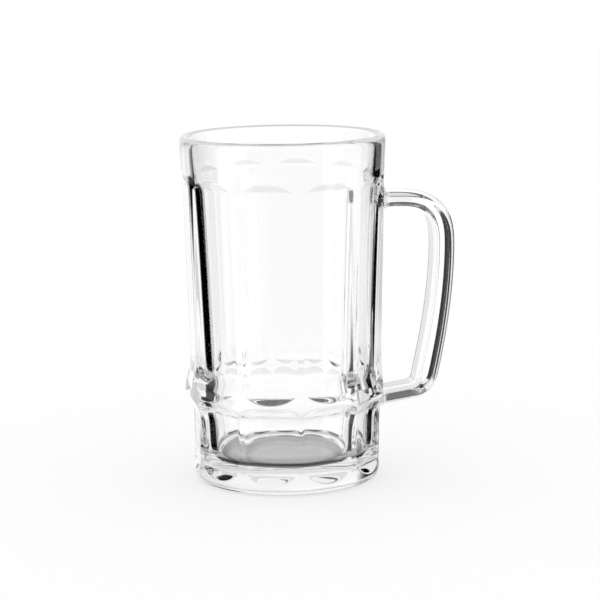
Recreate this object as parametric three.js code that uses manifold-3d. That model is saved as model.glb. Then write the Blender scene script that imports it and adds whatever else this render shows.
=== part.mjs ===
// Panelled glass beer mug in millimetres, +Z up.
// The origin is on the mug's axis at table level and the handle points along +X.
import * as THREE from 'three';
import { mergeVertices } from 'three/addons/utils/BufferGeometryUtils.js';
import Module from 'manifold-3d';

const wasm = await Module();
wasm.setup();

// Overall sizes, and the insets further down are measured inwards from the rim
const height = 150;
const rimRadius = 44.5;
const lipThickness = 4.2;
const floorThickness = 10.5;
const panelCount = 10;

// Foot: a flat underside, a rounded corner and a small step up into the lower tier
const footInset = 3.7;
const footCorner = 3.5;
const footHeight = 8.8;
const footTop = 10.5;

// Lower tier of short panels, measured at the ridges between them
const tierInset = 2.6;
const footRunOut = 3.1;
const tierPanelTop = 30;
const tierArchTop = 38.9;

// Raised girdle between the two tiers
const girdleInset = 0.6;
const girdleLow = 39;
const girdleHigh = 41.5;

// Upper tier of tall panels, measured at the ridges between them
const waistInset = 2.5;
const waistHeight = 52;
const creaseHeight = 43;
const creaseDepth = 1.6;
const crescentFoot = 39.8;
const shoulderInset = 0.65;
const shoulderDrop = 20.2;
const archRise = 3.4;

// Plain band under the lip
const bandInset = 0.4;
const bandDrop = 18.5;

// Glass left between the cavity and the middle of a panel, and the height where the cavity starts to flare
const shoulderWall = 3.75;
const waistWall = 5.85;
const tierWall = 7.4;
const floorCorner = 5;
const cavityBend = 104;

// Ridges are pressed round, more so towards the top: the panels would meet this far outside the ridge line
const shoulderSoftness = 0.7;
const waistSoftness = 0.3;
const tierSoftness = 0.3;

// Handle
const upperArmDrop = 28.8;
const lowerArmHeight = 33.1;
const armRise = 3.3;
const barStandoff = 25.7;
const elbowStandoff = 15.6;
const upperBend = 19;
const lowerBend = 6.5;
const bowHeight = 76;
const armThickness = 7.3;
const barThickness = 10.2;
const handleWidth = 16;
const outerChamferDepth = 2.6;
const outerChamferWidth = 6;
const innerChamfer = 2.4;
const edgeSoftness = 0.6;
const rootFillet = 3;
const rootDepth = 3;
const weldGap = 0.3;

// How finely the round forms are faceted
const panelSegments = 6;
const curveSteps = 5;
const stretchStations = 11;
const cutReach = 6;

// Heights and radii that follow from the sizes above
const roundSegments = panelCount * panelSegments;
const panelCosine = Math.cos(Math.PI / panelCount);
const footRadius = rimRadius - footInset;
const tierRadius = rimRadius - tierInset;
const girdleRadius = rimRadius - girdleInset;
const waistRadius = rimRadius - waistInset;
const shoulderRadius = rimRadius - shoulderInset;
const bandRadius = rimRadius - bandInset;
const barReach = rimRadius + barStandoff;
const elbowReach = rimRadius + elbowStandoff;
const tierApothem = (tierRadius + tierSoftness) * panelCosine;
const waistApothem = (waistRadius + waistSoftness) * panelCosine;
const shoulderApothem = (shoulderRadius + shoulderSoftness) * panelCosine;
const shoulderHeight = height - shoulderDrop;
const bandHeight = height - bandDrop;
const lipRadius = lipThickness / 2;
const lipHeight = height - lipRadius;
const cavityFoot = floorThickness + floorCorner;

function toSolid(geometry) {
  geometry.deleteAttribute('normal');
  geometry.deleteAttribute('uv');
  const merged = mergeVertices(geometry, 1e-4);
  const triVerts = [];
  const index = merged.index.array;
  for (let i = 0; i < index.length; i += 3) {
    const [a, b, c] = index.slice(i, i + 3);
    const degenerate = a === b || b === c || c === a;
    if (!degenerate) triVerts.push(a, b, c);
  }
  const mesh = new wasm.Mesh({
    numProp: 3,
    vertProperties: new Float32Array(merged.attributes.position.array),
    triVerts: new Uint32Array(triVerts),
  });
  return new wasm.Manifold(mesh);
}

function toGeometry(solid) {
  const mesh = solid.getMesh();
  const geometry = new THREE.BufferGeometry();
  geometry.setAttribute('position', new THREE.BufferAttribute(new Float32Array(mesh.vertProperties), 3));
  geometry.setIndex(new THREE.BufferAttribute(new Uint32Array(mesh.triVerts), 1));
  geometry.computeVertexNormals();
  return geometry;
}

// A profile of (radius, height) points turned about +Z
function revolve(points) {
  const geometry = new THREE.LatheGeometry(points, roundSegments);
  geometry.rotateX(Math.PI / 2);
  geometry.rotateZ(Math.PI / 2);
  return toSolid(geometry);
}

// Smooth change of radius that leaves and arrives upright
function flare(path, toRadius, toHeight) {
  const from = path.currentPoint.clone();
  const middle = (from.y + toHeight) / 2;
  path.bezierCurveTo(from.x, middle, toRadius, middle, toRadius, toHeight);
}

// Outside of the mug from the middle of the underside to the crest of the lip
function drawOutside(grow) {
  const path = new THREE.Path();
  const cornerStart = footRadius - footCorner;
  path.moveTo(0, -grow);
  path.lineTo(cornerStart, -grow);
  path.absarc(cornerStart, footCorner, footCorner + grow, -Math.PI / 2, 0);
  path.lineTo(footRadius + grow, footHeight);
  flare(path, tierRadius + grow, footTop);
  path.lineTo(tierRadius + grow, tierPanelTop);
  flare(path, girdleRadius + grow, girdleLow);
  path.lineTo(girdleRadius + grow, girdleHigh);
  flare(path, waistRadius + grow, waistHeight);
  path.lineTo(shoulderRadius + grow, shoulderHeight);
  path.lineTo(bandRadius + grow, bandHeight);
  path.lineTo(rimRadius + grow, lipHeight);
  path.absarc(rimRadius - lipRadius, lipHeight, lipRadius + grow, 0, Math.PI / 2);
  return path;
}

// Inside of the mug from the crest of the lip to the middle of the floor
function drawInside(path) {
  const footRadiusInside = tierApothem - tierWall;
  const waistRadiusInside = waistApothem - waistWall;
  const taper = (waistRadiusInside - footRadiusInside) / (waistHeight - cavityFoot);
  path.absarc(rimRadius - lipRadius, lipHeight, lipRadius, Math.PI / 2, Math.PI);
  path.lineTo(shoulderApothem - shoulderWall, shoulderHeight);
  path.quadraticCurveTo(waistRadiusInside + taper * (cavityBend - waistHeight), cavityBend,
    waistRadiusInside, waistHeight);
  path.lineTo(footRadiusInside, cavityFoot);
  path.absarc(footRadiusInside - floorCorner, cavityFoot, floorCorner, 0, -Math.PI / 2, true);
  path.lineTo(0, floorThickness);
}

// A panel's depth outline, (distance from the axis, height), drawn out sideways into a cutter
function panelCutter(outline, side) {
  const width = rimRadius;
  const geometry = new THREE.ExtrudeGeometry(outline, {
    depth: width,
    bevelEnabled: false,
    curveSegments: curveSteps,
  });
  geometry.translate(0, 0, -width / 2);
  geometry.rotateX(Math.PI / 2);
  geometry.rotateZ((side * 2 * Math.PI) / panelCount);
  return toSolid(geometry);
}

// A run-out is drawn twice as long as it shows, so that it clears the surface it runs out into
function pastSurface(from, to) {
  return to.clone().multiplyScalar(2).sub(from);
}

// Closes a panel's face, drawn from its foot upwards, clear of its run-outs and of the widest part of the mug
function closeOutside(outline, foot) {
  const reaches = outline.getPoints().map((point) => point.x);
  const outside = Math.max(rimRadius, bandRadius, girdleRadius, ...reaches) + cutReach;
  outline.lineTo(outside, outline.currentPoint.y);
  outline.lineTo(outside, foot);
  outline.closePath();
  return outline;
}

// Tall panel: crescent at the girdle, cove, flat that leans out to the shoulder, arch up into the band
function drawUpperPanel(grow) {
  const crease = new THREE.Vector2(girdleRadius - creaseDepth + grow, creaseHeight);
  const crescent = pastSurface(crease, new THREE.Vector2(girdleRadius + grow, crescentFoot));
  const shoulder = new THREE.Vector2(shoulderApothem + grow, shoulderHeight);
  const arch = pastSurface(shoulder, new THREE.Vector2(bandRadius + grow, shoulderHeight + archRise));
  const outline = new THREE.Shape();
  outline.moveTo(crescent.x, crescent.y);
  outline.lineTo(crease.x, crease.y);
  flare(outline, waistApothem + grow, waistHeight);
  outline.lineTo(shoulder.x, shoulder.y);
  outline.lineTo(arch.x, arch.y);
  return closeOutside(outline, crescent.y);
}

// Short panel: shallow run-out over the foot, flat, cove that arches up into the girdle
function drawLowerPanel(grow) {
  const face = tierApothem + grow;
  const foot = new THREE.Vector2(face, footHeight);
  const runOut = pastSurface(foot, new THREE.Vector2(footRadius + grow, footHeight - footRunOut));
  const outline = new THREE.Shape();
  outline.moveTo(runOut.x, runOut.y);
  outline.lineTo(foot.x, foot.y);
  outline.lineTo(face, tierPanelTop);
  outline.quadraticCurveTo(face, (tierPanelTop + tierArchTop) / 2, girdleRadius + grow, tierArchTop);
  return closeOutside(outline, runOut.y);
}

// Panel under the handle: flat all the way from the foot to the shoulder, so the girdle stops at its sides
function drawHandlePanel(grow) {
  const outline = new THREE.Shape();
  outline.moveTo(tierApothem + grow, footHeight);
  outline.lineTo(tierApothem + grow, tierPanelTop);
  outline.lineTo(waistApothem + grow, waistHeight);
  outline.lineTo(shoulderApothem + grow, shoulderHeight);
  return closeOutside(outline, footHeight);
}

function cutPanels(solid, grow) {
  let result = solid.subtract(panelCutter(drawHandlePanel(grow), 0));
  for (let side = 0; side < panelCount; side += 1) {
    result = result.subtract(panelCutter(drawUpperPanel(grow), side));
    result = result.subtract(panelCutter(drawLowerPanel(grow), side));
  }
  return result;
}

function makeBody() {
  const profile = drawOutside(0);
  drawInside(profile);
  return toGeometry(cutPanels(revolve(profile.getPoints(curveSteps)), 0));
}

// Centre line of the handle in its own plane, (distance from the axis, height)
function drawHandleLine() {
  const upperHeight = height - upperArmDrop;
  const elbow = new THREE.Vector2(elbowReach, lowerArmHeight + armRise);
  const bow = new THREE.Vector2(barReach, bowHeight);
  const lowerRoot = new THREE.Vector2(tierApothem - rootDepth, lowerArmHeight);
  const intoBar = bow.clone().sub(elbow).setLength(lowerBend).add(elbow);
  const intoArm = lowerRoot.clone().sub(elbow).setLength(lowerBend).add(elbow);
  const line = new THREE.Path();
  line.moveTo(shoulderApothem - rootDepth, upperHeight);
  line.lineTo(barReach - upperBend, upperHeight);
  line.quadraticCurveTo(barReach, upperHeight, barReach, upperHeight - upperBend);
  line.quadraticCurveTo(bow.x, bow.y, intoBar.x, intoBar.y);
  line.quadraticCurveTo(elbow.x, elbow.y, intoArm.x, intoArm.y);
  line.lineTo(lowerRoot.x, lowerRoot.y);
  return line;
}

// Section of the handle as (outwards, sideways) points: a strap with soft chamfered edges
function drawSection(halfThickness, halfWidth) {
  const right = [
    new THREE.Vector2(halfThickness, halfWidth - outerChamferWidth),
    new THREE.Vector2(halfThickness - outerChamferDepth, halfWidth),
    new THREE.Vector2(innerChamfer - halfThickness, halfWidth),
    new THREE.Vector2(-halfThickness, halfWidth - innerChamfer),
  ];
  const left = right.map((corner) => new THREE.Vector2(corner.x, -corner.y)).reverse();
  const corners = [...right, ...left];
  return corners.flatMap((corner, i) => {
    const before = corners.at(i - 1);
    const after = corners[(i + 1) % corners.length];
    return [before, after].map((other) => other.clone().sub(corner).setLength(edgeSoftness).add(corner));
  });
}

// One ring of the handle, square to its centre line: slim where the strap lies level, full where it stands up
function handleRing(centre, along) {
  const wall = centre.y > bowHeight ? shoulderApothem : tierApothem;
  const fromWall = THREE.MathUtils.clamp(centre.x - wall, 0, rootFillet);
  const swell = rootFillet - Math.sqrt(rootFillet ** 2 - (rootFillet - fromWall) ** 2);
  const halfThickness = THREE.MathUtils.lerp(armThickness, barThickness, along.y ** 2) / 2 + swell;
  const section = drawSection(halfThickness, handleWidth / 2 + swell);
  return section.flatMap((point) => [centre.x - along.y * point.x, point.y, centre.y + along.x * point.x]);
}

// Closed skin over a row of rings, each with the same number of points
function loft(rings) {
  const count = rings[0].length / 3;
  const positions = rings.flat();
  const index = [];
  for (let row = 0; row + 1 < rings.length; row += 1) {
    for (let i = 0; i < count; i += 1) {
      const next = (i + 1) % count;
      const low = row * count;
      const high = low + count;
      index.push(low + i, high + i, low + next);
      index.push(low + next, high + i, high + next);
    }
  }
  const last = (rings.length - 1) * count;
  for (let i = 1; i + 1 < count; i += 1) {
    index.push(0, i, i + 1);
    index.push(last, last + i + 1, last + i);
  }
  const geometry = new THREE.BufferGeometry();
  geometry.setAttribute('position', new THREE.Float32BufferAttribute(positions, 3));
  geometry.setIndex(index);
  return geometry;
}

function makeHandle() {
  const rings = [];
  for (const stretch of drawHandleLine().curves) {
    const first = rings.length === 0 ? 0 : 1;
    for (let i = first; i <= stretchStations; i += 1) {
      const share = i / stretchStations;
      rings.push(handleRing(stretch.getPoint(share), stretch.getTangent(share)));
    }
  }
  const outside = drawOutside(weldGap).getPoints(curveSteps);
  outside.push(new THREE.Vector2(0, height + weldGap));
  const grownBody = cutPanels(revolve(outside), weldGap);
  return toGeometry(toSolid(loft(rings)).subtract(grownBody));
}

const clearGlass = new THREE.MeshStandardMaterial({
  color: 0xf4f6f5,
  roughness: 0.03,
  metalness: 0,
  transparent: true,
  opacity: 0.35,
});

function namedMesh(name, geometry) {
  const mesh = new THREE.Mesh(geometry, clearGlass.clone());
  mesh.name = name;
  return mesh;
}

const beerMug = new THREE.Group();
beerMug.add(namedMesh('mug_body', makeBody()));
beerMug.add(namedMesh('handle', makeHandle()));

export default beerMug;
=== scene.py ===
import math

import bmesh
import bpy
from mathutils import Matrix, Vector


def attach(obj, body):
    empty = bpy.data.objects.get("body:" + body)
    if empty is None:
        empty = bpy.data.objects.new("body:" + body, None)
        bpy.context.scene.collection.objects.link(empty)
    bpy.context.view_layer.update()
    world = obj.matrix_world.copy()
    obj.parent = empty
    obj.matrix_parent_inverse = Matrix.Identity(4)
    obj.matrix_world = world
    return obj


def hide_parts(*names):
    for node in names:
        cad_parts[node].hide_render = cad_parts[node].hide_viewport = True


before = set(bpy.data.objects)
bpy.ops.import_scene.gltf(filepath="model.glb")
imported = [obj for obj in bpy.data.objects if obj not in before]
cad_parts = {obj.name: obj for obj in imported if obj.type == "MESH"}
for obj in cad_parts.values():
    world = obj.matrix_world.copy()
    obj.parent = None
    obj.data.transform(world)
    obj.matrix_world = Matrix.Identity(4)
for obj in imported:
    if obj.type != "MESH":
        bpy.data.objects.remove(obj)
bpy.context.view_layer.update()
print("frame loaded", sorted(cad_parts))

mm = 0.001
bpy.context.scene.view_settings.view_transform = "Standard"


# starting, picking and finishing

def startPiece(name):
    bpy.ops.object.select_all(action="DESELECT")
    piece = bpy.context.active_object
    piece.select_set(True)
    piece.name = name
    piece.data.name = name
    bpy.ops.object.mode_set(mode="EDIT")
    bpy.ops.mesh.select_mode(type="VERT")
    return piece


def pick(piece, numbers):
    bpy.ops.mesh.select_all(action="DESELECT")
    bm = bmesh.from_edit_mesh(piece.data)
    bm.verts.ensure_lookup_table()
    for number in numbers:
        bm.verts[number].select = True
    bm.select_flush_mode()
    bmesh.update_edit_mesh(piece.data)


def finishPiece(piece, levels):
    bpy.ops.mesh.select_all(action="SELECT")
    bpy.ops.mesh.normals_make_consistent(inside=False)
    bpy.ops.object.mode_set(mode="OBJECT")
    modifier = piece.modifiers.new("Subdivision", "SUBSURF")
    modifier.levels = levels
    modifier.render_levels = levels
    bpy.ops.object.modifier_apply(modifier=modifier.name)
    bpy.ops.object.shade_smooth()
    print(piece.name, len(piece.data.polygons), "faces")


def share(value, low, high):
    return min(max((value - low) / (high - low), 0), 1)


def ease(value, low, high):
    part = share(value, low, high)
    return part * part * (3 - 2 * part)


# mug body: one ring of points is extruded up the outside, over the lip and down the inside
# all radii and heights are in mm

bodyShape = {
    "panels": 10,
    "columns": (0, 6, 11.5, 15.8, 18),  # degrees from the middle of a panel to the middle of a ridge
    "ridgeColumn": 3,  # the panels end at this column, with a tight edge
    "ridgeRange": (15.2, 16.6),  # degrees between which it slides
    "ridgeCrease": 0.35,
    "subdivisions": 2,

    # the turned outside widens from the foot by these gains, each between two heights
    "footRadius": 40.8,
    "easedGains": ((1.1, 24, 39), (2, 30, 39), (-1.9, 41.5, 52)),  # wall, girdle out, girdle in
    "straightGains": ((1.85, 52, 129.8), (0.65, 129.8, 147.9)),  # tall wall, band under the lip

    # a short panel runs out over the foot and arches up into the girdle
    "lowerFlat": 39.3,
    "runOut": (4.5, 8.8),
    "lowerArch": (30, 38.9),
    "lowerArchDepth": 4.6,

    # a tall panel has a crescent on the girdle, a cove, a leaning flat and an arch at the shoulder
    "crescent": 42.3,
    "crescentSlope": 0.5,
    "cove": (43, 52),
    "upperFlat": (40.31, 42.37),
    "shoulder": 129.8,
    "upperArchSlope": 0.51,

    # each row has its height in the middle of a panel, its height at the ridge and how late it bends
    "rows": (
        (4, 9.2, 2), (4.5, 10, 2), (6, 10.6, 2), (7.4, 11.1, 3), (8.8, 11.6, 4), (9.8, 12.2, 4),
        (13, 13.6, 2), (20, 20, 2), (28, 27, 2),
        (32, 29.5, 2), (35, 31, 2), (37.4, 32.2, 2), (38.7, 33.4, 2), (39.1, 36.6, 2), (39.4, 40.2, 2),
        (39.8, 44.1, 2), (41.4, 44.7, 3), (43, 45.3, 8), (43.9, 46.3, 8), (46.2, 48.2, 4), (49.2, 50.4, 2),
        (53, 53, 2), (70, 70, 2), (95, 95, 2), (118, 117, 2), (128.4, 126.2, 6),
        (129.8, 127.6, 8), (131.5, 128.1, 3), (133.2, 128.6, 2), (134.2, 130.4, 2),
        (137.4, 136.2, 2), (142, 142, 2), (145.6, 145.6, 2),
    ),

    # each arc has its centre, its radius and the angles of its points
    "footCorner": ((37.3, 3.5), 3.5, (-80, -60, -30, 0)),
    "lip": ((42.4, 147.9), 2.1, (0, 30, 60, 90, 120, 150, 180)),
    "insideWall": (
        (39.75, 142), (39.2, 136), (38.62, 129.8), (37.64, 115.3), (36.6, 97.4), (35.5, 76.4),
        (34.4, 52), (33.6, 34), (32.95, 20),
    ),
    "floorCorner": ((27.73, 15.5), 5, (0, -30, -60, -90)),
    "floorRings": (22, 12, 4),
    "undersideRadius": 37.3,

    # the girdle stops at a flat for the handle, between these heights
    "handleFlat": 40.15,
    "handleFlatHeights": (29, 52),
}
steps = 2 * (len(bodyShape["columns"]) - 1)  # columns in one panel
ringCount = bodyShape["panels"] * steps
firstRow = 1 + len(bodyShape["footCorner"][2])


def turnedRadius(z):
    # the outside before the panels are pressed
    curved = sum(gain * ease(z, low, high) for gain, low, high in bodyShape["easedGains"])
    straight = sum(gain * share(z, low, high) for gain, low, high in bodyShape["straightGains"])
    return bodyShape["footRadius"] + curved + straight


def lowerFace(z):
    # distance of a short panel from the axis
    flat = bodyShape["lowerFlat"]
    low, high = bodyShape["runOut"]
    if z < high:
        return flat + (bodyShape["footRadius"] - flat) * (high - z) / (high - low)
    low, high = bodyShape["lowerArch"]
    return flat + bodyShape["lowerArchDepth"] * (max(z - low, 0) / (high - low)) ** 2


def upperFace(z):
    # distance of a tall panel from the axis
    crescent = bodyShape["crescent"]
    low, high = bodyShape["cove"]
    bottom, top = bodyShape["upperFlat"]
    shoulder = bodyShape["shoulder"]
    if z < low:
        return crescent + bodyShape["crescentSlope"] * (low - z)
    if z < high:
        return crescent + (bottom - crescent) * ease(z, low, high)
    if z < shoulder:
        return bottom + (top - bottom) * share(z, high, shoulder)
    return top + bodyShape["upperArchSlope"] * (z - shoulder)


def pressedRadius(z, degrees):
    lean = math.cos(math.radians(degrees))
    return min(turnedRadius(z), lowerFace(z) / lean, upperFace(z) / lean)


def panelEdge(z):
    # degrees from the middle of a panel to its edge at this height
    depth = min(lowerFace(z), upperFace(z)) / turnedRadius(z)
    low, high = bodyShape["ridgeRange"]
    return min(max(math.degrees(math.acos(min(depth, 1))), low), high)


def arc(centre, radius, angles):
    turns = [math.radians(angle) for angle in angles]
    return [(centre[0] + radius * math.cos(turn), centre[1] + radius * math.sin(turn)) for turn in turns]


def bodyOutline():
    # radius and height of each ring from the foot's corner up and over to the middle of the inside
    outline = arc(*bodyShape["footCorner"])
    outline += [(bodyShape["footRadius"], row[0]) for row in bodyShape["rows"]]
    outline += arc(*bodyShape["lip"])
    outline += bodyShape["insideWall"]
    outline += arc(*bodyShape["floorCorner"])
    floorHeight = outline[-1][1]
    return outline + [(radius, floorHeight) for radius in bodyShape["floorRings"]]


def ringOut(radius, z, last):
    bpy.ops.mesh.extrude_region_move(TRANSFORM_OT_translate={"value": (0, 0, (z - last[1]) * mm)})
    wider = radius / last[0]
    bpy.ops.transform.resize(value=(wider, wider, 1), center_override=(0, 0, 0))
    return radius, z


def turnPicked(degrees):
    # with no window, rotate turns the other way
    bpy.ops.transform.rotate(value=-math.radians(degrees), orient_axis="Z", center_override=(0, 0, 0))


def extrudeBody():
    last = (bodyShape["undersideRadius"], 0)
    bpy.ops.mesh.primitive_circle_add(vertices=ringCount, radius=last[0] * mm, fill_type="NOTHING")
    body = startPiece("glassBody")
    bpy.ops.mesh.select_all(action="SELECT")
    for radius, z in bodyOutline():
        last = ringOut(radius, z, last)
    bpy.ops.mesh.edge_face_add()
    pick(body, range(ringCount))  # the first ring is closed by the flat underside
    bpy.ops.mesh.edge_face_add()
    return body


def countColumns(body):
    # which column of its panel each point is in, with 0 in the middle of a panel
    bm = bmesh.from_edit_mesh(body.data)
    turns = {v.index: math.degrees(math.atan2(v.co.y, v.co.x)) for v in bm.verts}
    return {number: round(turn * ringCount / 360) % steps for number, turn in turns.items()}


def slideColumns(body, columnOf):
    # columns slide towards the ridges
    for column in range(1, steps):
        near = min(column, steps - column)
        if near == steps // 2:
            continue
        side = 1 if column == near else -1
        pick(body, [n for n in columnOf if columnOf[n] == column])
        turnPicked(side * (bodyShape["columns"][near] - near * 360 / ringCount))


def bendRows(body, columnOf):
    # rows bend into arches and crescents, and the panels are pressed in
    columns = bodyShape["columns"]
    for index, (middle, ridge, power) in enumerate(bodyShape["rows"]):
        start = (firstRow + index) * ringCount
        numbers = range(start, start + ringCount)
        for near, degrees in enumerate(columns):
            z = middle + (ridge - middle) * (degrees / columns[-1]) ** power
            if near == bodyShape["ridgeColumn"]:
                slide = panelEdge(z) - degrees
                degrees += slide
                for column, side in ((near, 1), (steps - near, -1)):
                    pick(body, [n for n in numbers if columnOf[n] == column])
                    turnPicked(side * slide)
            pick(body, [n for n in numbers if columnOf[n] in (near, (steps - near) % steps)])
            wider = pressedRadius(z, degrees) / bodyShape["footRadius"]
            bpy.ops.transform.translate(value=(0, 0, (z - middle) * mm))
            bpy.ops.transform.resize(value=(wider, wider, 1), center_override=(0, 0, 0))


def flattenForHandle(body):
    flat = bodyShape["handleFlat"] * mm
    low, high = (z * mm for z in bodyShape["handleFlatHeights"])
    bm = bmesh.from_edit_mesh(body.data)
    pick(body, [v.index for v in bm.verts if low < v.co.z < high and v.co.x > flat])
    bpy.ops.transform.resize(value=(0, 1, 1), center_override=(flat, 0, 0))


def tightenRidges(body, columnOf):
    ridge = bodyShape["ridgeColumn"]
    rowPoints = range(firstRow * ringCount, (firstRow + len(bodyShape["rows"])) * ringCount)
    bpy.ops.mesh.select_all(action="DESELECT")
    bm = bmesh.from_edit_mesh(body.data)
    for edge in bm.edges:
        low, high = sorted(v.index for v in edge.verts)
        if high - low == ringCount and low in rowPoints and columnOf[low] in (ridge, steps - ridge):
            edge.select = True
    bmesh.update_edit_mesh(body.data)
    bpy.ops.transform.edge_crease(value=bodyShape["ridgeCrease"])


def buildBody():
    body = extrudeBody()
    columnOf = countColumns(body)
    print("body rings", len(columnOf) // ringCount)
    slideColumns(body, columnOf)
    bendRows(body, columnOf)
    flattenForHandle(body)
    tightenRidges(body, columnOf)
    finishPiece(body, bodyShape["subdivisions"])
    return body


# handle: a chamfered strap section extruded along the D, with a flare at both roots

handleShape = {
    "width": 16,
    # each thickness at the top and at the bottom of the handle
    "armThickness": (7.3, 8),
    "barThickness": (10.2, 11),
    "thicken": (95, 43),  # heights between which it grows
    "outerChamfer": (2.6, 6),  # through the thickness, across the width
    "backChamfer": (3.7, 7),  # the same on the side away from the camera
    "innerChamfer": 2.4,
    "softness": 0.4,
    "longEdge": 2.5,  # edges of the section over this length are cut
    "cuts": 2,
    "splitMargin": 0.2,  # from the end of the back chamfer to where the section grows apart
    "upperRoot": (41.75, 121.2),
    "upperBend": (51.2, 70.2, 102.2),  # where the bend starts, its reach, and the height where it ends
    "bow": (70.2, 76),
    "elbow": ((62.35, 42.7), (61.2, 35.3), (53.67, 35.1)),
    "lowerRoot": (39.2, 33.02),
    "lowerArm": 9,  # from the lower root to the middle of its arm
    "rootFlare": ((0, 5), (0.85, 2.6), (2.15, 0.8), (4.05, 0)),  # distance from the root, extra size
    "bendSteps": 6,
    "bowSteps": 5,
    "elbowSteps": 5,
    "subdivisions": 2,
}


def curve(start, control, end, count):
    # stations along a curve that leaves start towards control and arrives at end from it
    stations = []
    for step in range(1, count + 1):
        t = step / count
        x, z = ((1 - t) ** 2 * a + 2 * t * (1 - t) * b + t * t * c for a, b, c in zip(start, control, end))
        dx, dz = ((1 - t) * (b - a) + t * (c - b) for a, b, c in zip(start, control, end))
        stations.append((x, z, math.degrees(math.atan2(-dz, dx)), 0))
    return stations


def handleLine():
    # a station is distance from the axis, height, lean of the section in degrees and extra size
    shape = handleShape
    rootX, rootZ = shape["upperRoot"]
    bendX, reach, bendZ = shape["upperBend"]
    stations = [(rootX + away, rootZ, 0, extra) for away, extra in shape["rootFlare"]]
    stations.append((bendX, rootZ, 0, 0))
    stations += curve((bendX, rootZ), (reach, rootZ), (reach, bendZ), shape["bendSteps"])
    stations += curve((reach, bendZ), shape["bow"], shape["elbow"][0], shape["bowSteps"])
    stations += curve(*shape["elbow"], shape["elbowSteps"])
    elbowX, elbowZ, lean, extra = stations[-1]
    rootX, rootZ = shape["lowerRoot"]
    slope = (elbowZ - rootZ) / (elbowX - rootX)
    for away, extra in ((shape["lowerArm"], 0),) + shape["rootFlare"][::-1]:
        stations.append((rootX + away, rootZ + slope * away, lean, extra))
    return stations


def strapThickness(station):
    shape = handleShape
    upright = math.sin(math.radians(station[2])) ** 2
    high, low = shape["thicken"]
    down = share(high - station[1], 0, high - low)
    arm, bar = (top + (bottom - top) * down for top, bottom in (shape["armThickness"], shape["barThickness"]))
    return arm + (bar - arm) * upright


def pickedNumbers(piece, test):
    bm = bmesh.from_edit_mesh(piece.data)
    return [v.index for v in bm.verts if v.select and test(v.co)]


def startStrap(here, wide, thick):
    # the first section, standing upright at here
    shape = handleShape
    inner = shape["innerChamfer"]
    bpy.ops.mesh.primitive_plane_add(size=mm, location=here, rotation=(0, math.pi / 2, 0))
    bpy.ops.object.transform_apply(location=True, rotation=True, scale=True)
    handle = startPiece("glassHandle")
    bpy.ops.mesh.select_all(action="SELECT")
    bpy.ops.transform.resize(value=(1, wide, thick), center_override=here)
    bpy.ops.mesh.bevel(offset=inner * mm, segments=1, affect="VERTICES")

    # the outer chamfers, on top here, are larger than the inner ones
    for end, (depth, across) in ((-1, shape["outerChamfer"]), (1, shape["backChamfer"])):
        bpy.ops.mesh.select_all(action="SELECT")
        corner = pickedNumbers(handle, lambda co: co.y * end > 0 and co.z > here[2])
        bm = bmesh.from_edit_mesh(handle.data)
        bm.verts.ensure_lookup_table()
        side, top = sorted(corner, key=lambda number: bm.verts[number].co.z)
        pick(handle, [top])
        bpy.ops.transform.translate(value=(0, end * (inner - across) * mm, 0))
        pick(handle, [side])
        bpy.ops.transform.translate(value=(0, 0, (inner - depth) * mm))

    # soft corners, and cuts that keep the flats between them flat
    bpy.ops.mesh.select_all(action="SELECT")
    bpy.ops.mesh.bevel(offset=shape["softness"] * mm, segments=1, affect="VERTICES")
    bm = bmesh.from_edit_mesh(handle.data)
    for edge in bm.edges:
        edge.select = edge.calc_length() > shape["longEdge"] * mm
    bmesh.update_edit_mesh(handle.data)
    bpy.ops.mesh.subdivide(number_cuts=shape["cuts"])
    return handle


def buildHandle():
    shape = handleShape
    wide = shape["width"]
    stations = handleLine()
    x, z, lean, extra = stations[0]
    thick = strapThickness(stations[0])
    here = (x * mm, 0, z * mm)
    handle = startStrap(here, wide, thick)
    bpy.ops.mesh.select_all(action="SELECT")
    bpy.ops.transform.resize(value=(1, (wide + extra) / wide, (thick + extra) / thick), center_override=here)

    for station in stations[1:]:
        lastLean, lastExtra, lastThick = lean, extra, thick
        x, z, lean, extra = station
        thick = strapThickness(station)
        move = (x * mm - here[0], 0, z * mm - here[2])
        bpy.ops.mesh.extrude_region_move(TRANSFORM_OT_translate={"value": move})
        here = (x * mm, 0, z * mm)

        # upright and without the flare for the change of thickness, then over to its own lean
        bpy.ops.transform.rotate(value=math.radians(lastLean), orient_axis="Y", center_override=here)
        ring = pickedNumbers(handle, lambda co: True)
        plain = (1, wide / (wide + lastExtra), lastThick / (lastThick + lastExtra))
        bpy.ops.transform.resize(value=plain, center_override=here)
        outer = shape["backChamfer"][0] + shape["softness"] + shape["splitMargin"]
        split = here[2] + (lastThick / 2 - outer) * mm
        for half in (1, -1):
            pick(handle, ring)
            pick(handle, pickedNumbers(handle, lambda co: half * (co.z - split) > 0))
            bpy.ops.transform.translate(value=(0, 0, half * (thick - lastThick) / 2 * mm))
        pick(handle, ring)
        flared = (1, (wide + extra) / wide, (thick + extra) / thick)
        bpy.ops.transform.resize(value=flared, center_override=here)
        bpy.ops.transform.rotate(value=-math.radians(lean), orient_axis="Y", center_override=here)
    finishPiece(handle, shape["subdivisions"])
    return handle


# materials

def linear(code):
    parts = [int(code[i:i + 2], 16) / 255 for i in (1, 3, 5)]
    return tuple(c / 12.92 if c < 0.04045 else ((c + 0.055) / 1.055) ** 2.4 for c in parts) + (1,)


def addNode(tree, kind, inputs=(), **options):
    # inputs by name or in order, each a value, a socket or a node, which stands for its first output
    node = tree.nodes.new(kind)
    for key, value in options.items():
        setattr(node, key, value)
    for key, value in inputs.items() if isinstance(inputs, dict) else enumerate(inputs):
        if isinstance(value, bpy.types.Node):
            value = value.outputs[0]
        if isinstance(value, bpy.types.NodeSocket):
            tree.links.new(value, node.inputs[key])
        else:
            node.inputs[key].default_value = value
    return node


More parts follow.
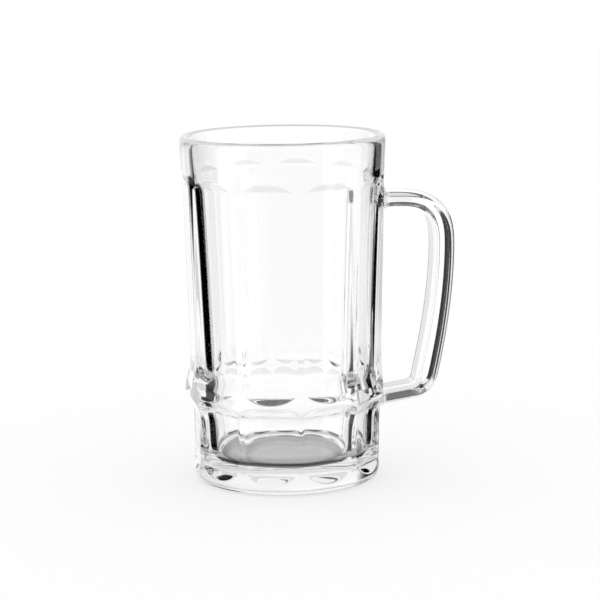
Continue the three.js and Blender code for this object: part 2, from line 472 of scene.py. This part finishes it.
def newMaterial(name):
    material = bpy.data.materials.new(name)
    material.use_nodes = True
    material.node_tree.nodes.clear()
    return material, material.node_tree


# soda-lime glass, smooth from the mould and the flame: colourless, it mirrors and bends light with no haze

glassLook = {
    "colour": "#ffffff",
    "roughness": 0,
    "ior": 1.52,
    # light with more reflections, or more turns in all, than this is caught in the wall of the body
    "caughtReflections": 3.5,
    "caughtTurns": 9.5,
    # a painted glow stands in for that light: a soft grey, set by height in mm, fading out in the base, where
    # the light would be lost in the paper
    "paintedBodyGlow": (
        (8, 0.5), (10.5, 0), (15, 0), (24, 0.7), (34, 0.92), (54, 0.92), (70, 0.7), (136, 0.7), (145, 0.4),
        (150, 0.05),
    ),
}


def addPaintedGlow(tree, glass, paintedGlow):
    path = addNode(tree, "ShaderNodeLightPath").outputs
    reflections = addNode(tree, "ShaderNodeMath", (path["Glossy Depth"], glassLook["caughtReflections"]),
                          operation="GREATER_THAN")
    turns = addNode(tree, "ShaderNodeMath", (path["Ray Depth"], glassLook["caughtTurns"]),
                    operation="GREATER_THAN")
    caught = addNode(tree, "ShaderNodeMath", (reflections, turns), operation="MAXIMUM")
    top = paintedGlow[-1][0]
    place = addNode(tree, "ShaderNodeTexCoord").outputs["Object"]
    parts = addNode(tree, "ShaderNodeSeparateXYZ", (place,)).outputs
    height = addNode(tree, "ShaderNodeMath", (parts["Z"], top * mm), operation="DIVIDE")
    ramp = addNode(tree, "ShaderNodeValToRGB", (height,))
    stops = ramp.color_ramp.elements
    for index, (z, level) in enumerate(paintedGlow):
        stop = stops[index] if index < len(stops) else stops.new(z / top)
        stop.position = z / top
        stop.color = (level, level, level, 1)
    # painted glow: an emission in the glass in place of the light that is cut off
    light = addNode(tree, "ShaderNodeEmission", (ramp,))
    return addNode(tree, "ShaderNodeMixShader", (caught, glass, light))


def clearGlass(name, paintedGlow=None):
    material, tree = newMaterial(name)
    surface = addNode(tree, "ShaderNodeBsdfPrincipled", {
        "Base Color": linear(glassLook["colour"]), "Roughness": glassLook["roughness"],
        "IOR": glassLook["ior"], "Transmission Weight": 1})
    if paintedGlow:
        surface = addPaintedGlow(tree, surface, paintedGlow)
    addNode(tree, "ShaderNodeOutputMaterial", {"Surface": surface})
    return material


body = buildBody()
handle = buildHandle()
# the body's glass has the painted glow mixed in
pressed = clearGlass("clear pressed soda-lime glass", glassLook["paintedBodyGlow"])
polished = clearGlass("clear fire-polished soda-lime glass")
for piece, node, glass in ((body, "mug_body", pressed), (handle, "handle", polished)):
    piece.data.materials.clear()
    piece.data.materials.append(glass)
    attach(piece, "root")
    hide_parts(node)
print("pieces made")


# white studio: the world is white to the camera, and rays from the glass find dark flags in it

studio = {
    # each flag is azimuth from, to, elevation from, to, in degrees, and how dark it is
    # azimuth runs from +Y towards -X
    "flags": ((28, 44, -30, 4, 0.9), (300, 322, -38, 8, 0.35)),
    # only rays reflected in or on the glass find these
    "reflectedFlags": (
        (31, 95, -34, 12, 1), (280, 330, -34, 8, 1), (300, 400, 19, 46, 0.22), (320, 390, -32, -18, 0.16),
        (-20, 380, 66, 110, 0.85), (-20, 380, -110, -36, 0.75),
    ),
    # and only those reflected inside the glass find this one
    "insideFlags": ((112, 222, -30, 12, 1),),
    "soft": 4,  # degrees over which an edge fades to each side
    # the glass finds these levels in the floor and the sky, each past a fade in elevation
    "floorFade": (-26, -48),
    "floorLevel": 0.55,
    "skyFade": (-3, 4),
    "skyLevel": 0.86,
    "glassLevel": 1.08,
}
smooth = {"interpolation_type": "SMOOTHSTEP"}


def flagShade(tree, flags, azimuth, elevation):
    # how dark a set of flags is in this direction
    soft = studio["soft"]
    total = 0
    for left, right, low, high, dark in flags:
        # away is the turn from the middle of the flag, either way round
        middle, half = (left + right) / 2, (right - left) / 2
        turned = addNode(tree, "ShaderNodeMath", (azimuth, 540 - middle), operation="ADD")
        wrapped = addNode(tree, "ShaderNodeMath", (turned, 360), operation="FLOORED_MODULO")
        offset = addNode(tree, "ShaderNodeMath", (wrapped, 180), operation="SUBTRACT")
        away = addNode(tree, "ShaderNodeMath", (offset,), operation="ABSOLUTE")
        across = addNode(tree, "ShaderNodeMapRange", (away, half - soft, half + soft, dark, 0), **smooth)
        above = addNode(tree, "ShaderNodeMapRange", (elevation, low - soft, low + soft, 0, 1), **smooth)
        below = addNode(tree, "ShaderNodeMapRange", (elevation, high - soft, high + soft, 1, 0), **smooth)
        upright = addNode(tree, "ShaderNodeMath", (above, below), operation="MULTIPLY")
        shade = addNode(tree, "ShaderNodeMath", (across, upright), operation="MULTIPLY")
        total = addNode(tree, "ShaderNodeMath", (total, shade), operation="MAXIMUM")
    return total


def buildStudio():
    world = bpy.data.worlds.new("white studio")
    bpy.context.scene.world = world
    world.use_nodes = True
    tree = world.node_tree
    tree.nodes.clear()

    place = addNode(tree, "ShaderNodeTexCoord").outputs["Generated"]
    parts = addNode(tree, "ShaderNodeSeparateXYZ", (place,)).outputs
    mirrored = addNode(tree, "ShaderNodeMath", (parts["X"], -1), operation="MULTIPLY")
    turn = addNode(tree, "ShaderNodeMath", (mirrored, parts["Y"]), operation="ARCTAN2")
    azimuth = addNode(tree, "ShaderNodeMath", (turn,), operation="DEGREES")
    rise = addNode(tree, "ShaderNodeMath", (parts["Z"],), operation="ARCSINE")
    elevation = addNode(tree, "ShaderNodeMath", (rise,), operation="DEGREES")

    path = addNode(tree, "ShaderNodeLightPath").outputs
    reflected = addNode(tree, "ShaderNodeMath", (path["Glossy Depth"], 1), operation="MINIMUM")
    inside = addNode(tree, "ShaderNodeMath", (reflected, path["Transmission Depth"]), operation="MINIMUM")
    dark = 0
    for flags, found in (("flags", 1), ("reflectedFlags", reflected), ("insideFlags", inside)):
        shade = flagShade(tree, studio[flags], azimuth, elevation)
        met = addNode(tree, "ShaderNodeMath", (shade, found), operation="MULTIPLY")
        dark = addNode(tree, "ShaderNodeMath", (dark, met), operation="MAXIMUM")

    ground = addNode(tree, "ShaderNodeMapRange",
                     (elevation, *studio["floorFade"], 1, studio["floorLevel"]), **smooth)
    sky = addNode(tree, "ShaderNodeMapRange",
                  (elevation, *studio["skyFade"], 1, studio["skyLevel"]), **smooth)
    level = addNode(tree, "ShaderNodeMath", (ground, sky), operation="MULTIPLY")
    level = addNode(tree, "ShaderNodeMath", (level, studio["glassLevel"]), operation="MULTIPLY")
    clear = addNode(tree, "ShaderNodeMath", (1, dark), operation="SUBTRACT")
    level = addNode(tree, "ShaderNodeMath", (level, clear), operation="MULTIPLY")

    # that is for the glass, and all other rays find plain white
    fromGlass = addNode(tree, "ShaderNodeMath", (path["Is Transmission Ray"], path["Is Glossy Ray"]),
                        operation="MAXIMUM")
    change = addNode(tree, "ShaderNodeMath", (level, 1), operation="SUBTRACT")
    level = addNode(tree, "ShaderNodeMath", (fromGlass, change, 1), operation="MULTIPLY_ADD")
    light = addNode(tree, "ShaderNodeBackground", {"Color": level, "Strength": 1})
    addNode(tree, "ShaderNodeOutputWorld", {"Surface": light})
    print("studio made")


# white paper sweep: matt, and partly lit to the camera so that it stays white beside the shadow
# lengths are in mm

paper = {
    "size": 6000,
    "drop": 0.2,  # below the foot
    "baseRadius": 37,  # the paper within it is under the base
    # painted shadow: the paper's colour darkens under the thick edge of the base, where little light gets
    "paintedShadowFade": (20, 28),
    "paintedShadowLevels": (0.9, 0.02),
    "lit": 0.65,  # share of its own light
}


def layPaper():
    bpy.ops.mesh.primitive_plane_add(size=paper["size"] * mm, location=(0, 0, -paper["drop"] * mm))
    floor = bpy.context.active_object
    floor.name = "floor"
    material, tree = newMaterial("white paper sweep")
    place = addNode(tree, "ShaderNodeTexCoord").outputs["Object"]
    away = addNode(tree, "ShaderNodeVectorMath", (place,), operation="LENGTH").outputs["Value"]
    beside = addNode(tree, "ShaderNodeMath", (away, paper["baseRadius"] * mm), operation="GREATER_THAN")
    # painted shadow in the paper's colour, by distance from the axis
    low, high = (radius * mm for radius in paper["paintedShadowFade"])
    under = addNode(tree, "ShaderNodeMapRange", (away, low, high, *paper["paintedShadowLevels"]))
    shade = addNode(tree, "ShaderNodeMath", (under, beside), operation="MAXIMUM")
    matt = addNode(tree, "ShaderNodeBsdfDiffuse", {"Color": shade})
    white = addNode(tree, "ShaderNodeEmission", {"Strength": 1})
    path = addNode(tree, "ShaderNodeLightPath").outputs
    lit = addNode(tree, "ShaderNodeMath", (path["Is Camera Ray"], paper["lit"]), operation="MULTIPLY")
    sheet = addNode(tree, "ShaderNodeMixShader", (lit, matt, white))

    # beside the base, rays from the glass pass through to the studio
    fromGlass = addNode(tree, "ShaderNodeMath", (path["Is Transmission Ray"], path["Is Glossy Ray"]),
                        operation="MAXIMUM")
    passed = addNode(tree, "ShaderNodeMath", (fromGlass, beside), operation="MULTIPLY")
    clear = addNode(tree, "ShaderNodeBsdfTransparent")
    surface = addNode(tree, "ShaderNodeMixShader", (passed, sheet, clear))
    addNode(tree, "ShaderNodeOutputMaterial", {"Surface": surface})
    floor.data.materials.append(material)
    print("paper laid")


# camera: its places are in metres, its lens and sensor in mm

view = {
    "location": (-0.14295, -0.94524, 0.24359),
    "target": (0, 0, 0.075),
    "roll": -0.0142,  # radians
    "lens": 134.13,
    "sensor": 36,
    "shift": (0.02548, 0.00973),
}


def addCamera():
    bpy.ops.object.camera_add(location=view["location"])
    camera = bpy.context.active_object
    look = (Vector(view["target"]) - camera.location).to_track_quat("-Z", "Y").to_matrix().to_4x4()
    roll = Matrix.Rotation(view["roll"], 4, "Z")
    camera.matrix_world = Matrix.Translation(camera.location) @ look @ roll
    camera.data.lens = view["lens"]
    camera.data.sensor_width = view["sensor"]
    camera.data.shift_x, camera.data.shift_y = view["shift"]
    bpy.context.scene.camera = camera


buildStudio()
layPaper()
addCamera()
